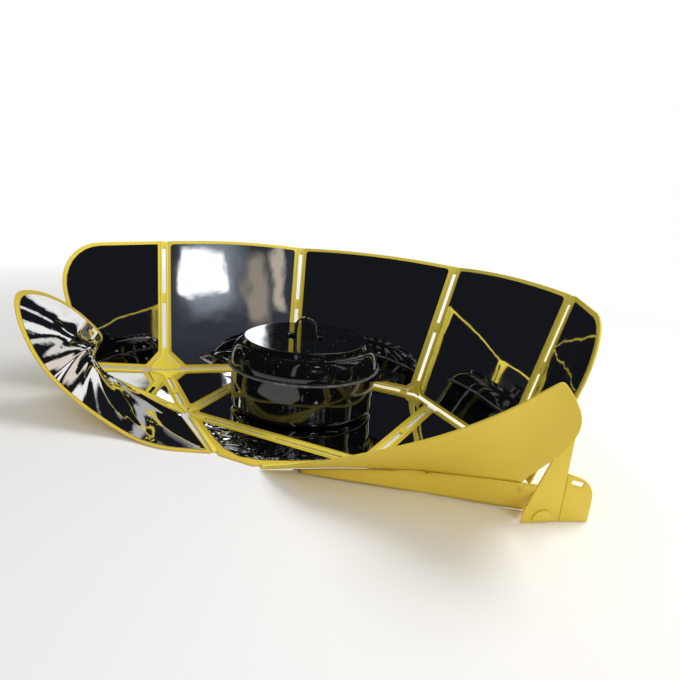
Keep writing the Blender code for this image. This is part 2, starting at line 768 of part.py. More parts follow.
def build():
    clear_scene()
    oven = make_collection("Solar oven")
    cutters = make_collection("Cutters")
    looks = {
        "shell": make_material("Yellow shell", YELLOW, 0.45),
        "bright": make_material("Bright yellow hinge", BRIGHT_YELLOW, 0.40),
        "film": make_material("Mirror film", SILVER, 0.04, 1.0),
        "enamel": make_material("Black enamel", ENAMEL, 0.08),
    }
    right = corner_points()
    left = {key: flip(value) for key, value in right.items()}
    inset = HINGE_HALF + GAP
    small = SMALL_PLATE - HINGE_HALF + GAP
    floor = Body("floor", (0.0, 0.0, 0.0), oven)
    back = Body("back_wall", (0.0, FLOOR_MID, FACE_Z), oven, floor)
    flap = Body("front_flap", (0.0, right["front"].y, FACE_Z), oven, floor)
    panel(floor, "floor",
          [left["j_back"], right["j_back"], right["step"], right["front"], left["front"], left["step"]],
          [inset, OPEN_EDGE, inset, inset, inset, OPEN_EDGE],
          {0: BORDER, 1: BORDER}, looks, film_extra={0: CROSS_PLATE, 1: CROSS_PLATE})
    panel(back, "back_wall", [left["j_back"], right["j_back"], right["t_back"], left["t_back"]],
          [inset, inset, 0.0, inset], {0: small, 1: small}, looks, bow=2)
    panel(flap, "front_flap", [left["front"], right["front"], right["lip"], left["lip"]],
          [inset, inset, 0.0, inset], {}, looks)
    hinge_strip(floor, "hinge_base_back", left["j_back"], right["j_back"],
                [[across(left["j_back"], right["j_back"], right["t_back"])] * 2,
                 [across(left["j_back"], right["j_back"], right["front"])] * 2],
                looks["bright"], ("square", SMALL_PLATE + GAP), ("square", SMALL_PLATE + GAP))
    hinge_strip(floor, "hinge_front", left["front"], right["front"],
                [[across(left["front"], right["front"], right["j_back"])] * 2,
                 [across(left["front"], right["front"], right["lip"])] * 2],
                looks["bright"], ("taper", TAPER_START), ("taper", TAPER_START))
    for word, side, p, rim, free, ground in (
        ("left", -1, left, LEFT_RIM, LEFT_FREE, LEFT_GROUND),
        ("right", 1, right, RIGHT_RIM, RIGHT_FREE, RIGHT_GROUND),
    ):
        add_side(word, side, p, rim, free, ground, floor, back, flap, oven, cutters, looks)
    pot = Body("pot", (POT_X, POT_Y, POT_FOOT), oven, floor)
    lid = Body("lid", (POT_X, POT_Y, POT_FOOT + POT_HEIGHT), oven, pot)
    add_pot(pot, lid, looks)


def add_side(word, side, p, rim, free, ground, floor, back, flap, oven, cutters, looks):
    """Every piece of one side: two walls, two floor panels, the petal, their hinges and the foot."""
    inset = HINGE_HALF + GAP
    side_wall = Body(f"side_wall_{word}", p["j_back"], oven, back)
    end_wall = Body(f"end_wall_{word}", p["j_side"], oven, side_wall)
    inner_floor = Body(f"inner_floor_{word}", p["front"], oven, floor)
    outer_floor = Body(f"outer_floor_{word}", p["front"], oven, inner_floor)
    wing = Body(f"petal_{word}", p["front"], oven, outer_floor)
    crease = foot_point(p["end"], FOOT_CREASE, side)
    rear = Body(f"foot_leaf_{word}", crease, oven, end_wall)
    small = SMALL_PLATE - HINGE_HALF + GAP
    cross = CROSS_PLATE - HINGE_HALF + GAP
    panel(side_wall, f"side_wall_{word}", [p["j_back"], p["j_side"], p["t_side"], p["t_back"]],
          [WALL_FOOT, inset, 0.0, inset], {0: small + WALL_FOOT, 1: cross + WALL_FOOT}, looks, bow=2)
    panel(end_wall, f"end_wall_{word}", [p["j_side"], p["end"], p["top"], p["t_side"]],
          [WALL_FOOT, 0.0, 0.0, inset], {0: cross + WALL_FOOT}, looks, rounds={2: END_CORNER})
    panel(inner_floor, f"inner_floor_{word}", [p["step"], p["j_side"], p["front"]],
          [inset, inset, inset], {1: cross}, looks)
    panel(outer_floor, f"outer_floor_{word}", [p["j_side"], p["end"], p["front"]],
          [inset, inset, inset], {0: cross, 1: END_PLATE - HINGE_HALF + GAP}, looks)
    bright = looks["bright"]
    hinge_strip(back, f"hinge_back_{word}", p["j_back"], p["t_back"],
                [leaf(p["j_back"], p["t_back"], flip(p["j_back"])), leaf(p["j_back"], p["t_back"], p["j_side"])],
                bright, ("plate", SMALL_PLATE), ("square", OPEN_EDGE))
    hinge_strip(side_wall, f"hinge_end_{word}", p["j_side"], p["t_side"],
                [leaf(p["j_side"], p["t_side"], p["j_back"]), leaf(p["j_side"], p["t_side"], p["end"])],
                bright, ("plate", CROSS_PLATE), ("square", OPEN_EDGE))
    hinge_strip(floor, f"hinge_floor_{word}", p["step"], p["front"],
                [[across(p["step"], p["front"], flip(p["front"]))] * 2,
                 [across(p["step"], p["front"], p["j_side"])] * 2],
                bright, ("square", SMALL_PLATE), ("taper", TAPER_START))
    hinge_strip(inner_floor, f"hinge_outer_{word}", p["j_side"], p["front"],
                [leaf(p["j_side"], p["front"], p["step"]), leaf(p["j_side"], p["front"], p["end"])],
                bright, ("plate", CROSS_PLATE), ("taper", TAPER_START))
    hinge_strip(inner_floor, f"hinge_base_{word}", p["step"], p["j_side"],
                [[across(p["step"], p["j_side"], p["front"])] * 2],
                bright, ("square", LEAF_START), ("square", CROSS_PLATE + LEAF_START / 3), slotted=False)
    hinge_strip(outer_floor, f"hinge_base_end_{word}", p["j_side"], p["end"],
                [[across(p["j_side"], p["end"], p["front"])] * 2],
                bright, ("square", CROSS_PLATE + LEAF_START), ("square", CROSS_PLATE), slotted=False)
    rim = rim_points(rim, p["lip"], p["end"])
    free = free_points(free, p["end"], side)
    ground = ground_points(ground, p["front"], p["end"])
    first = across(p["front"], p["end"], rim[1])
    second = across(p["front"], p["end"], free[0])
    hinge_strip(outer_floor, f"hinge_petal_{word}", p["front"], p["end"],
                [[across(p["front"], p["end"], p["j_side"])] * 2, [first, second]],
                bright, ("taper", TAPER_START), ("square", HINGE_HALF))
    hinge_strip(flap, f"hinge_flap_{word}", p["front"], p["lip"],
                [[across(p["front"], p["lip"], flip(p["front"]))] * 2],
                bright, ("taper", TAPER_START + HINGE_HALF), ("square", OPEN_EDGE), slotted=False)
    beside = -across(p["front"], p["lip"], flip(p["front"]))
    petal = Petal(p["front"], p["end"], p["lip"], rim, free, beside, (first, second))
    add_petal(wing, f"petal_{word}", petal, looks)
    add_foot(end_wall, rear, word, side, p["end"], looks, cutters)
    add_skirt(outer_floor, word, petal, ground, looks)


build()
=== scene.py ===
import json
import math

import bpy
import bmesh
from mathutils import Matrix, Vector
from mathutils.bvhtree import BVHTree


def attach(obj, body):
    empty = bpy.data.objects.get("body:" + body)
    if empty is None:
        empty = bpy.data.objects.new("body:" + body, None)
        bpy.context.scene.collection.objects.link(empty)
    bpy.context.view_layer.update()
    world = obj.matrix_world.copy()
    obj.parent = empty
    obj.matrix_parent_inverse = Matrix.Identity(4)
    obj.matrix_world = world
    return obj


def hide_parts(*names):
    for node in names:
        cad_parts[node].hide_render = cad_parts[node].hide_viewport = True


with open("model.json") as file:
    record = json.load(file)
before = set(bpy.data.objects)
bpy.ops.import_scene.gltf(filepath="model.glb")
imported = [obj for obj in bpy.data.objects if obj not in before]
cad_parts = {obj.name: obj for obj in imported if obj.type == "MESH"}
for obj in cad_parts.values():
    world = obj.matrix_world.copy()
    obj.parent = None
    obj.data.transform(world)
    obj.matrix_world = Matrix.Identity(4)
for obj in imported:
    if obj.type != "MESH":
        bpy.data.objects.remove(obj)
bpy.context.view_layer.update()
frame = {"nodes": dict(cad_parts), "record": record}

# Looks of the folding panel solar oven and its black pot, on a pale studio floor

BODIES = frame["record"]["behaviour"]["bodies"]
BODY_OF = {node: body for body, nodes in BODIES.items() for node in nodes}

# Camera, fitted to the panel corners in the photograph
CAMERA_PLACE = Vector((0.3737, -0.78437, 0.35456))
CAMERA_YAW = 0.40564
CAMERA_PITCH = 0.25992
CAMERA_ROLL = 0.08024
CAMERA_LENS = 27.769
CAMERA_SENSOR = 36.0
CAMERA_NEAR = 0.01

# The pot, in the part's own sizes
POT_AXIS = Vector((-0.025, -0.006, 0.0))
POT_FOOT = 0.0038
POT_RADIUS = 0.130
POT_WALL = 0.124
POT_BASE = 0.110
POT_HEIGHT = 0.076
POT_SHEET = 0.0016
POT_TURN = math.radians(15.0)
LID_FOOT = 0.0818
LID_RISE = 0.042
LID_TOP = 0.108
LID_STEP = 0.004
STRAP_FOOT = 0.1241
STRAP_END = 0.026
ROUND_STEPS = 160

# The pot's finer outline: a ring under its base, a band pressed round its wall, and its rim
BASE_LIFT = 0.0012
BASE_CROWN = 0.0008
RING_START = 0.78
RING_MIDDLE = 0.84
BAND_EDGES = (0.030, 0.056)
BAND_FACE = (0.034, 0.052)
BAND_OUT = 0.0006
RIM_OUT = 0.0002
RIM_FALL = 0.0010
RIM_FOOT = 0.0040
MOUTH_FALL = 0.0002
MOUTH_FOOT = 0.0035

# The flange round the pot's mouth, from the pot's radius and height: its back is two heights
FLANGE_ROUND = 0.0017
FLANGE_IN = 0.0012
FLANGE_DOWN = 0.0008
FLANGE_DEPTH = 0.0052
FLANGE_BACK = (-0.0025, 0.0009)

# The lid's finer outline: each pair is how far in from the top's radius and down from the top
LID_DISH = 0.0006
LID_DISH_RADIUS = 0.090
LID_FLAT_IN = 0.0075
LID_EDGE = 0.0016
LID_EDGE_IN = 0.0048
LID_STEP_POINTS = ((0.0030, 0.0042), (0.0018, 0.0070))
LID_SIDE_IN = 0.0010
LID_SIDE_DOWN = 0.0050
BRIM_IN = 0.0034
BRIM_BEAD = 0.0014
BRIM_LIFT = 0.0004
SEAT_IN = 0.0006
SEAT_LIFT = 0.0002
LINING_TOP_IN = 0.0030
LINING_BRIM_IN = 0.0026
LINING_HIGH = 0.0024
LINING_LOW = 0.0022
LINING_CORNER = (0.012, 0.0075)
LINING_TOP_RADIUS = 0.080
LINING_TOP = 0.0030

RIVET_RADIUS = 0.0032
RIVET_FLATTENED = 0.55
RIVET_LIFT = 0.0018

# The right skirt's outer end is stretched to the foot, and its top edge thinned on the wing's back
SKIRT_STRETCHED = 0.110
SKIRT_RAISED = 0.10
FOOT_LOW = Vector((0.3700, -0.1540, 0.002))
FOOT_HIGH = Vector((0.3790, -0.1800, 0.050))
SKIRT_NEAR = 0.0062
SKIRT_LIFT = (0.0008, 0.0024)
SKIRT_CUTS = 3
SKIRT_TIP = 0.85
RAY_START_Y = -0.6

# The folds of a wing's film fan out from the floor's outer corner, and start beside the hinge
FAN_CORNER = Vector((0.3669, -0.17, 0.0415))
FAN_AIM = Vector((0.157, -0.155, 0.0035))
FAN_FOLDS = 3.0
FAN_LENGTH = 1.6

# Rounded edges and merge distances in metres, angles in degrees, and how curved sheets are smoothed
SHELL_ROUND = 0.0007
HINGE_ROUND = 0.0006
CAD_MERGE = 0.000002
SPUN_MERGE = 0.000005
FLAT_ANGLE = 0.4
SHARP_ANGLE = 50.0
HANDLE_SHARP_ANGLE = 40.0
EDGED_SMOOTH = 35.0
SPUN_SMOOTH = 40.0
POT_SMOOTH = 55.0
QUAD_FACE_ANGLE = 20.0
QUAD_SHAPE_ANGLE = 60.0
SHEET_CREASE = 0.85
SHEET_LEVELS = 1

# The pale floor, which fades out from its middle
FLOOR_RADIUS = 3.2
FLOOR_DROP = 0.0004
FLOOR_FADE_START = 0.75
FLOOR_FADE_LENGTH = 1.1

# The dark dome round the studio, and its lights: headings and heights in degrees, soft edge, colour
DOME_RADIUS = 4.0
DOME_DARK = (0.009, 0.010, 0.013)
DOME_PATCHES = (
    (-56.0, -34.0, 24.0, 32.0, 12.0, (0.038, 0.042, 0.054)),
    (-47.0, -43.5, 29.0, 34.0, 4.5, (0.30, 0.33, 0.38)),
    (-50.0, -43.5, 29.2, 34.0, 0.8, (1.30, 1.32, 1.35)),
    (-38.8, -37.6, 25.0, 33.0, 1.5, (0.30, 0.26, 0.22)),
    (-35.4, -34.6, 26.0, 34.0, 0.9, (0.50, 0.43, 0.36)),
    (14.0, 30.0, -30.0, -4.0, 4.0, (0.50, 0.46, 0.42)),
    (34.0, 44.0, 26.0, 60.0, 3.0, (0.95, 0.94, 0.90)),
    (60.0, 66.0, 20.0, 60.0, 4.0, (0.75, 0.72, 0.66)),
    (84.0, 96.0, 24.0, 60.0, 4.0, (0.80, 0.70, 0.62)),
    (108.0, 114.0, 24.0, 60.0, 2.0, (0.95, 0.93, 0.90)),
    (126.0, 134.0, 24.0, 60.0, 3.0, (0.45, 0.44, 0.44)),
    (-80.0, -76.0, 8.0, 70.0, 1.5, (0.90, 0.92, 0.95)),
    (2.0, 8.0, 20.0, 60.0, 2.0, (0.75, 0.77, 0.80)),
)
DEGREES_PER_RADIAN = 57.2958

# The ceiling lamp behind a dotted screen, which the lid's top shows
DOTTED_LAMP = (-40.0, -31.0, 52.5, 58.5, 0.8)
DOTTED_GLOW = (3.4, 3.5, 3.6)
DOT_SCALE = 7.0
DOT_EDGE = 0.34
DOT_SHARPNESS = 14.0

# How strongly the world lights the oven, and what is added where a ray sees the world itself
WORLD_LIGHT = 0.50
WORLD_SEEN = 0.50

YELLOW = (0.780, 0.575, 0.055)
# Painted light: the walls' yellow is a brighter copy of the shell's yellow, standing in for the
# stronger light on the rims
PAINTED_LIT_RIM_YELLOW = (0.870, 0.690, 0.075)
BRIGHT_YELLOW = (0.900, 0.760, 0.090)
FLEXED_YELLOW = (0.93, 0.86, 0.40)
PLASTIC_IOR = 1.46
FILM_GREY = (0.86, 0.87, 0.88)
ENAMEL_BLACK = (0.0045, 0.0045, 0.0050)
ENAMEL_IOR = 1.52
SPECK_GREY = (0.30, 0.30, 0.30)
FLANGE_GREY = (0.10, 0.10, 0.10)
WORN_GREY = (0.26, 0.26, 0.25)
FLOOR_PALE = (0.93, 0.925, 0.92)


class Socket:
    """A node's output, on which sums, differences, products and quotients add their Math nodes."""

    def __init__(self, finish, output):
        self.finish = finish
        self.output = output

    def _math(self, operation, *values):
        return self.finish.node("ShaderNodeMath", {"operation": operation}, dict(enumerate(values)))

    def __add__(self, other):
        return self._math("ADD", self, other)

    __radd__ = __add__

    def __sub__(self, other):
        return self._math("SUBTRACT", self, other)

    def __rsub__(self, other):
        return self._math("SUBTRACT", other, self)

    def __mul__(self, other):
        return self._math("MULTIPLY", self, other)

    __rmul__ = __mul__

    def __truediv__(self, other):
        return self._math("DIVIDE", self, other)

    def over(self, edge):
        return self._math("GREATER_THAN", self, edge)

    def between(self, low, high, soft):
        """1 between two values, falling to 0 over a soft edge on either side."""
        return ((self - (low - soft)) / soft).limited() * (((high + soft) - self) / soft).limited()

    def limited(self):
        return self.finish.node("ShaderNodeClamp", {}, {"Value": self})


class Finish:
    """One material and its nodes."""

    def __init__(self, name):
        self.material = bpy.data.materials.new(name)
        self.material.use_nodes = True
        self.nodes = self.material.node_tree.nodes
        self.links = self.material.node_tree.links
        self.shader = self.nodes["Principled BSDF"]
        self.place = self.node("ShaderNodeTexCoord", {}, {}, "Object")

    def node(self, kind, settings, sockets, output=0):
        made = self.nodes.new(kind)
        for key, value in settings.items():
            setattr(made, key, value)
        for key, value in sockets.items():
            self.put(made.inputs[key], value)
        return Socket(self, made.outputs[output])

    def put(self, socket, value):
        if isinstance(value, Socket):
            self.links.new(value.output, socket)
        elif isinstance(value, tuple) and len(value) == 3 and socket.type == "RGBA":
            socket.default_value = (*value, 1.0)
        else:
            socket.default_value = value

    def set(self, **values):
        for key, value in values.items():
            self.put(self.shader.inputs[key.replace("_", " ")], value)

    def surface(self, shader):
        self.put(self.nodes["Material Output"].inputs["Surface"], shader)

    def stretched(self, scale, turn):
        sockets = {"Vector": self.place, "Scale": scale, "Rotation": (0.0, 0.0, turn)}
        return self.node("ShaderNodeMapping", {}, sockets)

    def noise(self, scale, detail=2.0, place=None, roughness=0.5, distortion=0.0):
        sockets = {
            "Vector": place or self.place,
            "Scale": scale,
            "Detail": detail,
            "Roughness": roughness,
            "Distortion": distortion,
        }
        return self.node("ShaderNodeTexNoise", {}, sockets, "Fac")

    def cells(self, scale):
        sockets = {"Vector": self.place, "Scale": scale}
        return self.node("ShaderNodeTexVoronoi", {}, sockets, "Distance")

    def mix(self, share, first, second):
        sockets = {0: share, 6: first, 7: second}
        return self.node("ShaderNodeMix", {"data_type": "RGBA"}, sockets, 2)

    def bump(self, height, strength, distance):
        self.set(Normal=self.node("ShaderNodeBump", {}, {
            "Height": height,
            "Strength": strength,
            "Distance": distance,
        }))


def shade(colour, factor):
    return tuple(min(c * factor, 1.0) for c in colour)


def moulded_plastic(name, colour):
    """Matt moulded plastic: faint cloudiness, fine grain, and scuffs that are a little shinier."""
    made = Finish(name)
    clouds = made.noise(7.0, detail=3.0)
    colour = made.mix(clouds, shade(colour, 0.93), shade(colour, 1.07))
    drawn_out = made.stretched((1.0, 0.12, 0.3), turn=0.6)
    scuffs = made.noise(42.0, detail=4.0, place=drawn_out, roughness=0.65)
    rubbed = ((scuffs - 0.60) * 6.0).limited()
    dust = made.noise(160.0)
    made.set(
        Base_Color=made.mix(rubbed * 0.10, colour, shade(BRIGHT_YELLOW, 1.12)),
        Roughness=0.40 + 0.10 * dust - rubbed * 0.10,
        IOR=PLASTIC_IOR,
    )
    grain, waves = made.noise(900.0), made.noise(9.0)
    made.bump(grain * 0.6 + waves * 2.4, strength=0.22, distance=0.0004)
    return made.material


def bright_hinge_plastic(name):
    """The hinge strips' thinner plastic: clearer yellow, paler where it has been flexed."""
    made = Finish(name)
    clouds = made.noise(11.0, detail=3.0)
    flexed = ((made.noise(36.0, detail=3.0) - 0.52) * 4.0).limited()
    colour = made.mix(clouds, shade(BRIGHT_YELLOW, 0.94), shade(BRIGHT_YELLOW, 1.06))
    made.set(
        Base_Color=made.mix(flexed * 0.18, colour, FLEXED_YELLOW),
        Roughness=0.30 + 0.10 * made.noise(120.0),
        IOR=PLASTIC_IOR,
    )
    grain, waves = made.noise(700.0), made.noise(30.0)
    made.bump(grain * 0.6 + waves * 1.2, strength=0.20, distance=0.0003)
    return made.material


def film(name):
    """Silver film with a few dull smudges and specks. The bump is added by the films below."""
    made = Finish(name)
    smudge = ((made.noise(16.0, detail=4.0) - 0.56) * 3.0).limited()
    specks = (0.10 - made.cells(240.0)).over(0.0) * made.noise(30.0, detail=1.0).over(0.60)
    made.set(
        Base_Color=made.mix(smudge * 0.25, FILM_GREY, shade(FILM_GREY, 0.90)),
        Metallic=1.0,
        Roughness=0.025 + smudge * 0.06 + specks * 0.10,
    )
    return made


def wall_film(name):
    """The flat panels' film: slow waves and faint creases."""
    made = film(name)
    slow = made.noise(9.0, detail=1.5, roughness=0.45, distortion=0.3)
    creases = made.noise(36.0, place=made.stretched((1.0, 0.45, 0.7), turn=0.5))
    made.bump(slow + creases * 0.06, strength=0.10, distance=0.01)
    return made.material


def fan_film(name):
    """The bent wings' film: long folds that fan out from the floor's corner."""
    made = film(name)
    fan = made.node("ShaderNodeAttribute", {"attribute_name": "fan"}, {}, "Vector")
    folds = made.noise(1.0, detail=1.0, place=fan, roughness=0.45, distortion=0.1)
    sharp = made.noise(2.3, detail=1.0, place=fan, distortion=0.2)
    made.bump(folds + sharp * 0.16, strength=1.0, distance=0.010)
    return made.material


def crumpled_film(name):
    """The front flap's film, which is crumpled from use."""
    made = film(name)
    folds = made.noise(34.0, roughness=0.55, distortion=0.8)
    made.bump(folds, strength=1.0, distance=0.006)
    return made.material


def speckled_enamel(name):
    """Black enamel with sparse pale specks, under a clear gloss that is not quite even."""
    made = Finish(name)
    specks = (0.16 - made.cells(260.0)).over(0.0) * made.noise(70.0).over(0.60)
    made.set(
        Base_Color=made.mix(specks, ENAMEL_BLACK, SPECK_GREY),
        Roughness=0.05 + 0.05 * made.noise(60.0),
        Coat_Weight=0.6,
        Coat_Roughness=0.03,
        IOR=ENAMEL_IOR,
    )
    made.bump(made.noise(75.0) + 0.3 * made.noise(300.0), strength=0.10, distance=0.0006)
    return made.material


def worn_enamel(name):
    """The flange's thin enamel: dark grey, dull, and paler where the steel shows through."""
    made = Finish(name)
    worn = ((made.noise(90.0, detail=4.0) - 0.50) * 4.0).limited()
    made.set(
        Base_Color=made.mix(worn, FLANGE_GREY, WORN_GREY),
        Roughness=0.34 + 0.15 * made.noise(140.0),
    )
    made.bump(made.noise(180.0), strength=0.2, distance=0.0004)
    return made.material


FINISHES = {
    "yellow_shell": moulded_plastic("Yellow shell", YELLOW),
    # The walls' shell is the same plastic painted brighter, as painted light on the rims
    "painted_lit_wall_shell": moulded_plastic("Wall shell with painted light", PAINTED_LIT_RIM_YELLOW),
    "bright_hinge": bright_hinge_plastic("Bright hinge"),
    "mirror_film": wall_film("Mirror film"),
    "fan_film": fan_film("Fanned film"),
    "crumpled_film": crumpled_film("Crumpled film"),
    "black_enamel": speckled_enamel("Speckled enamel"),
    "worn_enamel": worn_enamel("Worn enamel"),
}


def slot_of(node):
    for part in frame["record"]["subparts"]:
        if part["node"] == node:
            return part["material_slot"]
    return "yellow_shell"


def finished(name, bm, body, finish, replaced=(), smooth=SPUN_SMOOTH):
    """Makes a piece from a bmesh in the row frame, and places it on its body."""
    mesh = bpy.data.meshes.new(name)
    bm.to_mesh(mesh)
    bm.free()
    mesh.materials.clear()
    mesh.materials.append(FINISHES[finish])
    mesh.shade_smooth()
    mesh.set_sharp_from_angle(angle=math.radians(smooth))
    piece = bpy.data.objects.new(name, mesh)
    bpy.context.scene.collection.objects.link(piece)
    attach(piece, body)
    if replaced:
        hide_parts(*replaced)
    return piece


def welded(node):
    """A copy of a CAD node's mesh with its loose triangles joined."""
    bm = bmesh.new()
    bm.from_mesh(frame["nodes"][node].data)
    bmesh.ops.remove_doubles(bm, verts=bm.verts, dist=CAD_MERGE)
    return bm


def sharp_edges(bm, angle):
    least = math.radians(angle)
    return [e for e in bm.edges if len(e.link_faces) == 2 and e.calc_face_angle(0.0) > least]


def join_quads(bm):
    bmesh.ops.join_triangles(bm, faces=bm.faces, angle_face_threshold=math.radians(QUAD_FACE_ANGLE),
                             angle_shape_threshold=math.radians(QUAD_SHAPE_ANGLE))


def soft_edged(node, width, finish=None, sharp=SHARP_ANGLE):
    """A flat plastic piece whose edges are rounded as moulded ones are."""
    bm = welded(node)
    bmesh.ops.dissolve_limit(bm, angle_limit=math.radians(FLAT_ANGLE), verts=bm.verts, edges=bm.edges)
    bmesh.ops.bevel(bm, geom=sharp_edges(bm, sharp), offset=width, affect="EDGES", segments=2,
                    profile=0.5, material=-1, clamp_overlap=True)
    slot = slot_of(node)
    finished(f"{node}_piece", bm, BODY_OF[node], finish or slot, (node,), EDGED_SMOOTH)


def add_fan(bm, node):
    """Stores where a wing's folds run: the turn about its floor corner, and the distance from it."""
    side = -1.0 if "left" in node else 1.0
    corner = Vector((side * FAN_CORNER.x, FAN_CORNER.y, FAN_CORNER.z))
    along = (Vector((side * FAN_AIM.x, FAN_AIM.y, FAN_AIM.z)) - corner).normalized()
    fan = bm.verts.layers.float_vector.new("fan")
    for vert in bm.verts:
        away = vert.co - corner
        ahead = away.dot(along)
        aside = (away - along * ahead).length
        vert[fan] = (FAN_FOLDS * math.atan2(aside, ahead), away.length * FAN_LENGTH, side)


def curved_sheet(node, finish):
    """A curved sheet, subdivided so that its outline and its reflections run smooth."""
    bm = welded(node)
    if finish == "fan_film":
        add_fan(bm, node)
    join_quads(bm)
    crease = bm.edges.layers.float.new("crease_edge")
    for edge in sharp_edges(bm, SHARP_ANGLE):
        edge[crease] = SHEET_CREASE
    piece = finished(f"{node}_piece", bm, BODY_OF[node], finish, (node,), SHARP_ANGLE)
    smooth = piece.modifiers.new("Smooth", "SUBSURF")
    smooth.levels = SHEET_LEVELS
    smooth.render_levels = SHEET_LEVELS


def wing_surfaces():
    """Search trees of the right wing's shell, alone and with its hinge strip."""
    wing = welded("petal_right_panel")
    back = BVHTree.FromBMesh(wing)
    wing.from_mesh(frame["nodes"]["hinge_petal_right"].data)
    with_hinge = BVHTree.FromBMesh(wing)
    wing.free()
    return back, with_hinge


def fitted_skirt():
    """The right skirt: its end reaches to the foot, and its top edge lies thin on the wing's back."""
    back, with_hinge = wing_surfaces()
    bm = welded("skirt_right")
    join_quads(bm)
    bmesh.ops.subdivide_edges(bm, edges=bm.edges, cuts=SKIRT_CUTS, use_grid_fill=True)
    bm.normal_update()
    reach = max(vert.co.x for vert in bm.verts)
    shares = [max(0.0, 1 - (reach - vert.co.x) / SKIRT_STRETCHED) for vert in bm.verts]
    tip = [vert.co.copy() for vert, share in zip(bm.verts, shares) if share > SKIRT_TIP]
    tip.sort(key=lambda spot: spot.z)
    low, high = tip[0], tip[-1]
    for vert, share in zip(bm.verts, shares):
        lift = SKIRT_LIFT[1] if vert.normal.y < 0 else SKIRT_LIFT[0]
        place, _, _, gap = back.find_nearest(vert.co)
        if share == 0.0 and gap < SKIRT_NEAR:
            vert.co = place + (vert.co - place).normalized() * lift
        share *= share * (3 - 2 * share)
        here = low.lerp(high, (vert.co.z - low.z) / (high.z - low.z))
        raised = low.z + (vert.co.z - low.z) * (1 + SKIRT_RAISED)
        there = FOOT_LOW.lerp(FOOT_HIGH, (raised - FOOT_LOW.z) / (FOOT_HIGH.z - FOOT_LOW.z))
        vert.co += Vector((there.x - here.x, there.y - here.y, raised - vert.co.z)) * share
        start = Vector((vert.co.x, RAY_START_Y, vert.co.z))
        hit = with_hinge.ray_cast(start, Vector((0.0, 1.0, 0.0)))[0]
        if hit and share > 0.0 and vert.co.y > hit.y - SKIRT_NEAR:
            vert.co.y = hit.y - lift
    finished("skirt_right_piece", bm, "outer_floor_right", "yellow_shell",
             ("skirt_right",), SHARP_ANGLE)


def spun(profile, foot, closed=False):
    """A body turned about the pot's axis, from a closed profile or one that starts and ends on it."""
    centre = POT_AXIS + Vector((0.0, 0.0, foot))
    bm = bmesh.new()
    verts = [bm.verts.new(centre + Vector((r, 0.0, z))) for r, z in profile]
    following = verts[1:] + verts[:1] if closed else verts[1:]
    edges = [bm.edges.new(pair) for pair in zip(verts, following)]
    bmesh.ops.spin(bm, geom=verts + edges, cent=centre, axis=(0.0, 0.0, 1.0), angle=2 * math.pi,
                   steps=ROUND_STEPS, use_merge=True, use_duplicate=False)
    bmesh.ops.remove_doubles(bm, verts=bm.verts, dist=SPUN_MERGE)
    bmesh.ops.recalc_face_normals(bm, faces=bm.faces)
    return bm


def arc(cx, cz, radius, start, finish, steps):
    """Profile points on an arc, in degrees, where 0 points away from the axis and 90 up."""
    made = []
    for k in range(steps + 1):
        t = math.radians(start + (finish - start) * k / steps)
        made.append((cx + radius * math.cos(t), cz + radius * math.sin(t)))
    return made


def flare(near, far, high, low, steps):
    """A side that leaves the top steeply outwards and ends upright at the brim."""
    made = []
    for k in range(steps + 1):
        t = math.radians(90 * k / steps)
        made.append((near + (far - near) * math.sin(t), low + (high - low) * math.cos(t)))
    return made


def pot_shell():
    """The pot: a pressed foot ring, a straight wall with a band, and a small rim."""
    curve = POT_WALL - POT_BASE
    outside = [(0.0, BASE_LIFT), (POT_BASE * RING_START, BASE_LIFT)]
    outside += arc(POT_BASE * RING_MIDDLE, BASE_LIFT, BASE_LIFT, 180.0, 360.0, 6)
    outside += arc(POT_BASE, curve, curve, -90.0, 0.0, 12)
    outside.append((POT_WALL, BAND_EDGES[0]))
    outside += [(POT_WALL + BAND_OUT, z) for z in BAND_FACE]
    outside.append((POT_WALL, BAND_EDGES[1]))
    outside.append((POT_WALL, POT_HEIGHT - RIM_FOOT))
    outside += [(POT_WALL + RIM_OUT, POT_HEIGHT - RIM_FALL), (POT_WALL + RIM_OUT, POT_HEIGHT)]
    inside = [(POT_WALL - POT_SHEET, POT_HEIGHT - fall) for fall in (MOUTH_FALL, MOUTH_FOOT)]
    corner = arc(POT_BASE, curve, curve - POT_SHEET, -90.0, 0.0, 10)
    inside += [(r - POT_SHEET, z) for r, z in reversed(corner)]
    inside.append((0.0, POT_SHEET + BASE_CROWN))
    bm = spun(outside + inside, POT_FOOT)
    finished("pot_shell", bm, "pot", "black_enamel", ("pot_body",), POT_SMOOTH)


def lip_ring():
    """The worn grey flange that stands out round the pot's mouth, under the lid."""
    middle = POT_RADIUS - FLANGE_IN
    profile = arc(middle, POT_HEIGHT - FLANGE_DOWN, FLANGE_ROUND, 90.0, -90.0, 6)
    profile += [(POT_RADIUS - FLANGE_DEPTH, POT_HEIGHT + rise) for rise in FLANGE_BACK]
    bm = spun(profile, POT_FOOT, closed=True)
    finished("pot_lip", bm, "pot", "worn_enamel", (), SPUN_SMOOTH)


